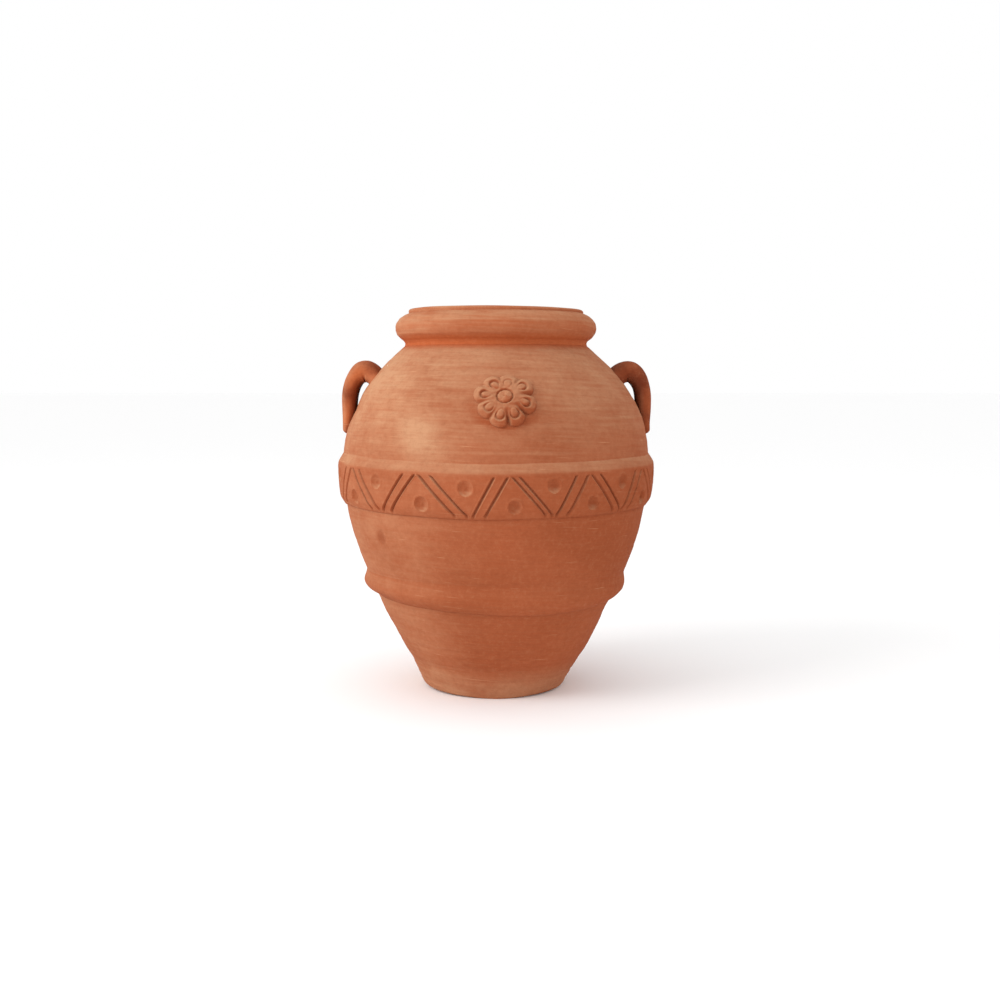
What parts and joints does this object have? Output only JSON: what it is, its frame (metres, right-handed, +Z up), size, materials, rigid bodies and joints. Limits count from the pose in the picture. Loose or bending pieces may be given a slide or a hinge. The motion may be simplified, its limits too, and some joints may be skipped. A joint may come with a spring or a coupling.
{
  "type": "terracotta oil jar",
  "caption": "Wide-mouthed terracotta amphora with a rolled rim, small strap handles, an incised relief belt with dimples, a lower cordon and a rosette on the shoulder.",
  "frame": {"origin": "centre of the foot, on the plane that the jar stands on", "axes": "+Z up along the jar's axis, out of the mouth; +X towards the right handle; the rosette faces -Y"},
  "size_m": [0.419, 0.419, 0.5],
  "materials": {
    "foot_clay": "matte",
    "wall_clay": "matte",
    "shoulder_clay": "matte",
    "rim_clay": "matte",
    "belt_clay": "matte",
    "cordon_clay": "matte",
    "handle_clay": "matte",
    "rosette_clay": "matte"
  },
  "bodies": {
    "root": {"foot_slab": "foot_clay", "lower_wall": "wall_clay", "belly_wall": "wall_clay", "shoulder_wall": "shoulder_clay", "neck_collar": "rim_clay", "rim_roll": "rim_clay", "relief_belt": "belt_clay", "lower_cordon": "cordon_clay", "left_handle": "handle_clay", "right_handle": "handle_clay", "rosette": "rosette_clay"}
  },
  "joints": []
}
